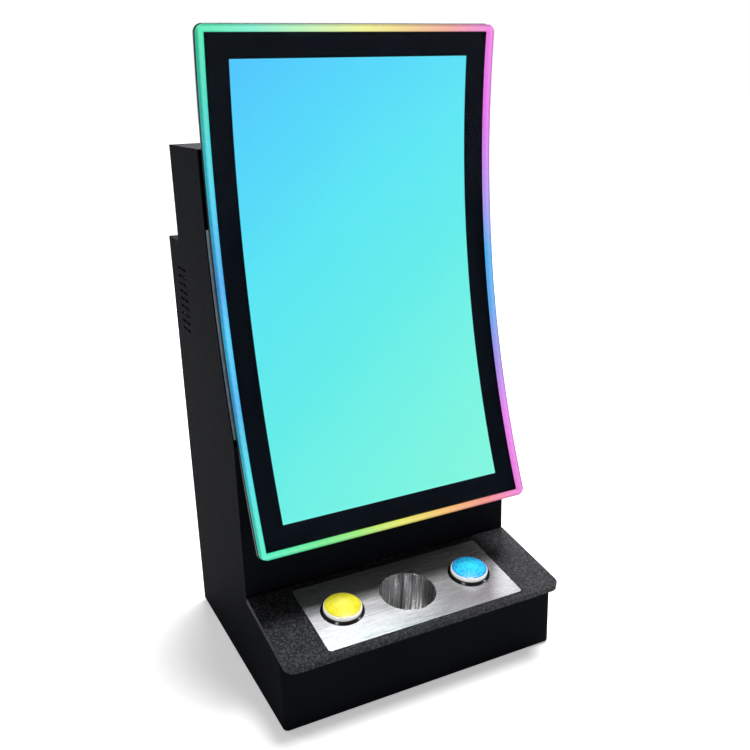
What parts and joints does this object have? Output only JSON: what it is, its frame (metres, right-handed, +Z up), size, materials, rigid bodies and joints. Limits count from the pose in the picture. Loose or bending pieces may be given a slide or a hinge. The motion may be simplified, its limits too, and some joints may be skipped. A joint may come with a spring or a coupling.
{
  "type": "slot machine",
  "caption": "Counter-top slot machine: tall concave lit screen over a sloping deck with two push buttons and a cup holder, on a stepped sheet-metal cabinet.",
  "frame": {"origin": "on the floor, under the middle of the bounding box", "axes": "+Z up, +Y from the player towards the back, +X to the player's right"},
  "size_m": [0.498, 0.472, 1.0349],
  "materials": {
    "black_powder_coat": "matte powder coat",
    "deck_textured_black": "coarse wrinkle coat",
    "brushed_stainless": "brushed along its width",
    "polished_steel": "polished",
    "zinc_steel": "zinc plated",
    "spring_steel": "drawn wire",
    "aluminium_sheet": "mill finish",
    "black_screws": "black oxide",
    "brass_cam": "machined",
    "foot_rubber": "matte",
    "black_plastic": "fine moulded grain",
    "gloss_black_plastic": "polished",
    "white_plastic": "polished",
    "yellow_lens": "translucent",
    "blue_lens": "translucent",
    "red_plastic": "moulded",
    "screen_glass": "clear, faintly reflective",
    "printed_border": "gloss black print",
    "picture": "lit colour gradient",
    "light_guide": "lit, colours run round it",
    "led_tape": "flexible circuit with diodes",
    "circuit_board": "green solder mask",
    "amplifier_board": "blue solder mask",
    "cable_jacket": "matte"
  },
  "bodies": {
    "cabinet": {"side_panel_left": "black_powder_coat", "side_panel_right": "black_powder_coat", "base_plate": "black_powder_coat", "console_front": "black_powder_coat", "apron_panel": "black_powder_coat", "top_panel": "black_powder_coat", "upper_rear_panel": "black_powder_coat", "ledge_panel": "black_powder_coat", "rear_panel": "black_powder_coat", "monitor_cover": "black_powder_coat", "corner_angles": "zinc_steel", "feet": "foot_rubber", "deck_lid": "deck_textured_black", "deck_cleats": "zinc_steel", "button_plate": "brushed_stainless", "plate_nuts": "zinc_steel", "cup_holder": "polished_steel", "yellow_button_bezel": "gloss_black_plastic", "yellow_button_nut": "black_plastic", "yellow_button_spring": "spring_steel", "yellow_switch": "red_plastic", "blue_button_bezel": "gloss_black_plastic", "blue_button_nut": "black_plastic", "blue_button_spring": "spring_steel", "blue_switch": "red_plastic", "touch_glass": "screen_glass", "bezel_mask": "printed_border", "lcd_panel": "picture", "backlight_chassis": "aluminium_sheet", "light_guide": "light_guide", "led_strip": "led_tape", "monitor_frame": "black_plastic", "lcd_driver_board": "circuit_board", "monitor_rails": "zinc_steel", "hinge_frame_leaves": "zinc_steel", "hinge_pins": "zinc_steel", "power_inlet": "black_plastic", "power_switch": "black_plastic", "fan_frame": "black_plastic", "fan_guard": "zinc_steel", "board_bracket": "zinc_steel", "game_board": "circuit_board", "power_supply": "aluminium_sheet", "amplifier": "amplifier_board", "speakers": "black_plastic", "cable_harness": "cable_jacket", "panel_screws": "black_screws"},
    "yellow_button": {"yellow_button_cap": "white_plastic", "yellow_button_lens": "yellow_lens"},
    "yellow_lever": {"yellow_switch_lever": "spring_steel"},
    "blue_button": {"blue_button_cap": "white_plastic", "blue_button_lens": "blue_lens"},
    "blue_lever": {"blue_switch_lever": "spring_steel"},
    "door": {"service_door": "black_powder_coat", "hinge_door_leaves": "zinc_steel", "door_screws": "black_screws", "lock_barrel": "polished_steel"},
    "cam": {"lock_cam": "brass_cam"},
    "rocker": {"power_rocker": "red_plastic"},
    "fan": {"fan_rotor": "black_plastic"}
  },
  "joints": [
    {"name": "yellow_button_press", "type": "slide", "parent": "cabinet", "child": "yellow_button", "axis": [0, 0.1478, -0.989], "range_m": [0, 0.0028], "stiffness_N_per_m": 600, "springref_m": -0.002, "deforming": ["yellow_button_spring"]},
    {"name": "yellow_switch_lever_tilt", "type": "hinge", "parent": "cabinet", "child": "yellow_lever", "pos_m": [-0.1295, -0.14446, 0.11665], "axis": [0, 0.989, 0.1478], "range_deg": [0, 16.2]},
    {"name": "blue_button_press", "type": "slide", "parent": "cabinet", "child": "blue_button", "axis": [0, 0.1478, -0.989], "range_m": [0, 0.0028], "stiffness_N_per_m": 600, "springref_m": -0.002, "deforming": ["blue_button_spring"]},
    {"name": "blue_switch_lever_tilt", "type": "hinge", "parent": "cabinet", "child": "blue_lever", "pos_m": [0.1085, -0.14446, 0.11665], "axis": [0, 0.989, 0.1478], "range_deg": [0, 16.2]},
    {"name": "service_door_swing", "type": "hinge", "parent": "cabinet", "child": "door", "pos_m": [0.18925, 0.232, 0.38], "axis": [0, 0, -1], "range_deg": [0, 110]},
    {"name": "lock_cam_turn", "type": "hinge", "parent": "door", "child": "cam", "pos_m": [-0.165, 0.228, 0.38], "axis": [0, 1, 0], "range_deg": [0, 90]},
    {"name": "power_rocker_tilt", "type": "hinge", "parent": "cabinet", "child": "rocker", "pos_m": [0.1, 0.227, 0.062], "axis": [1, 0, 0], "range_deg": [-14, 0]},
    {"name": "fan_spin", "type": "hinge", "parent": "cabinet", "child": "fan", "pos_m": [0, 0.15, 0.79], "axis": [0, 1, 0], "continuous": true}
  ],
  "couplings": [
    {"joint": "yellow_switch_lever_tilt", "follows": "yellow_button_press", "rad_per_m": 100},
    {"joint": "blue_switch_lever_tilt", "follows": "blue_button_press", "rad_per_m": 100}
  ]
}
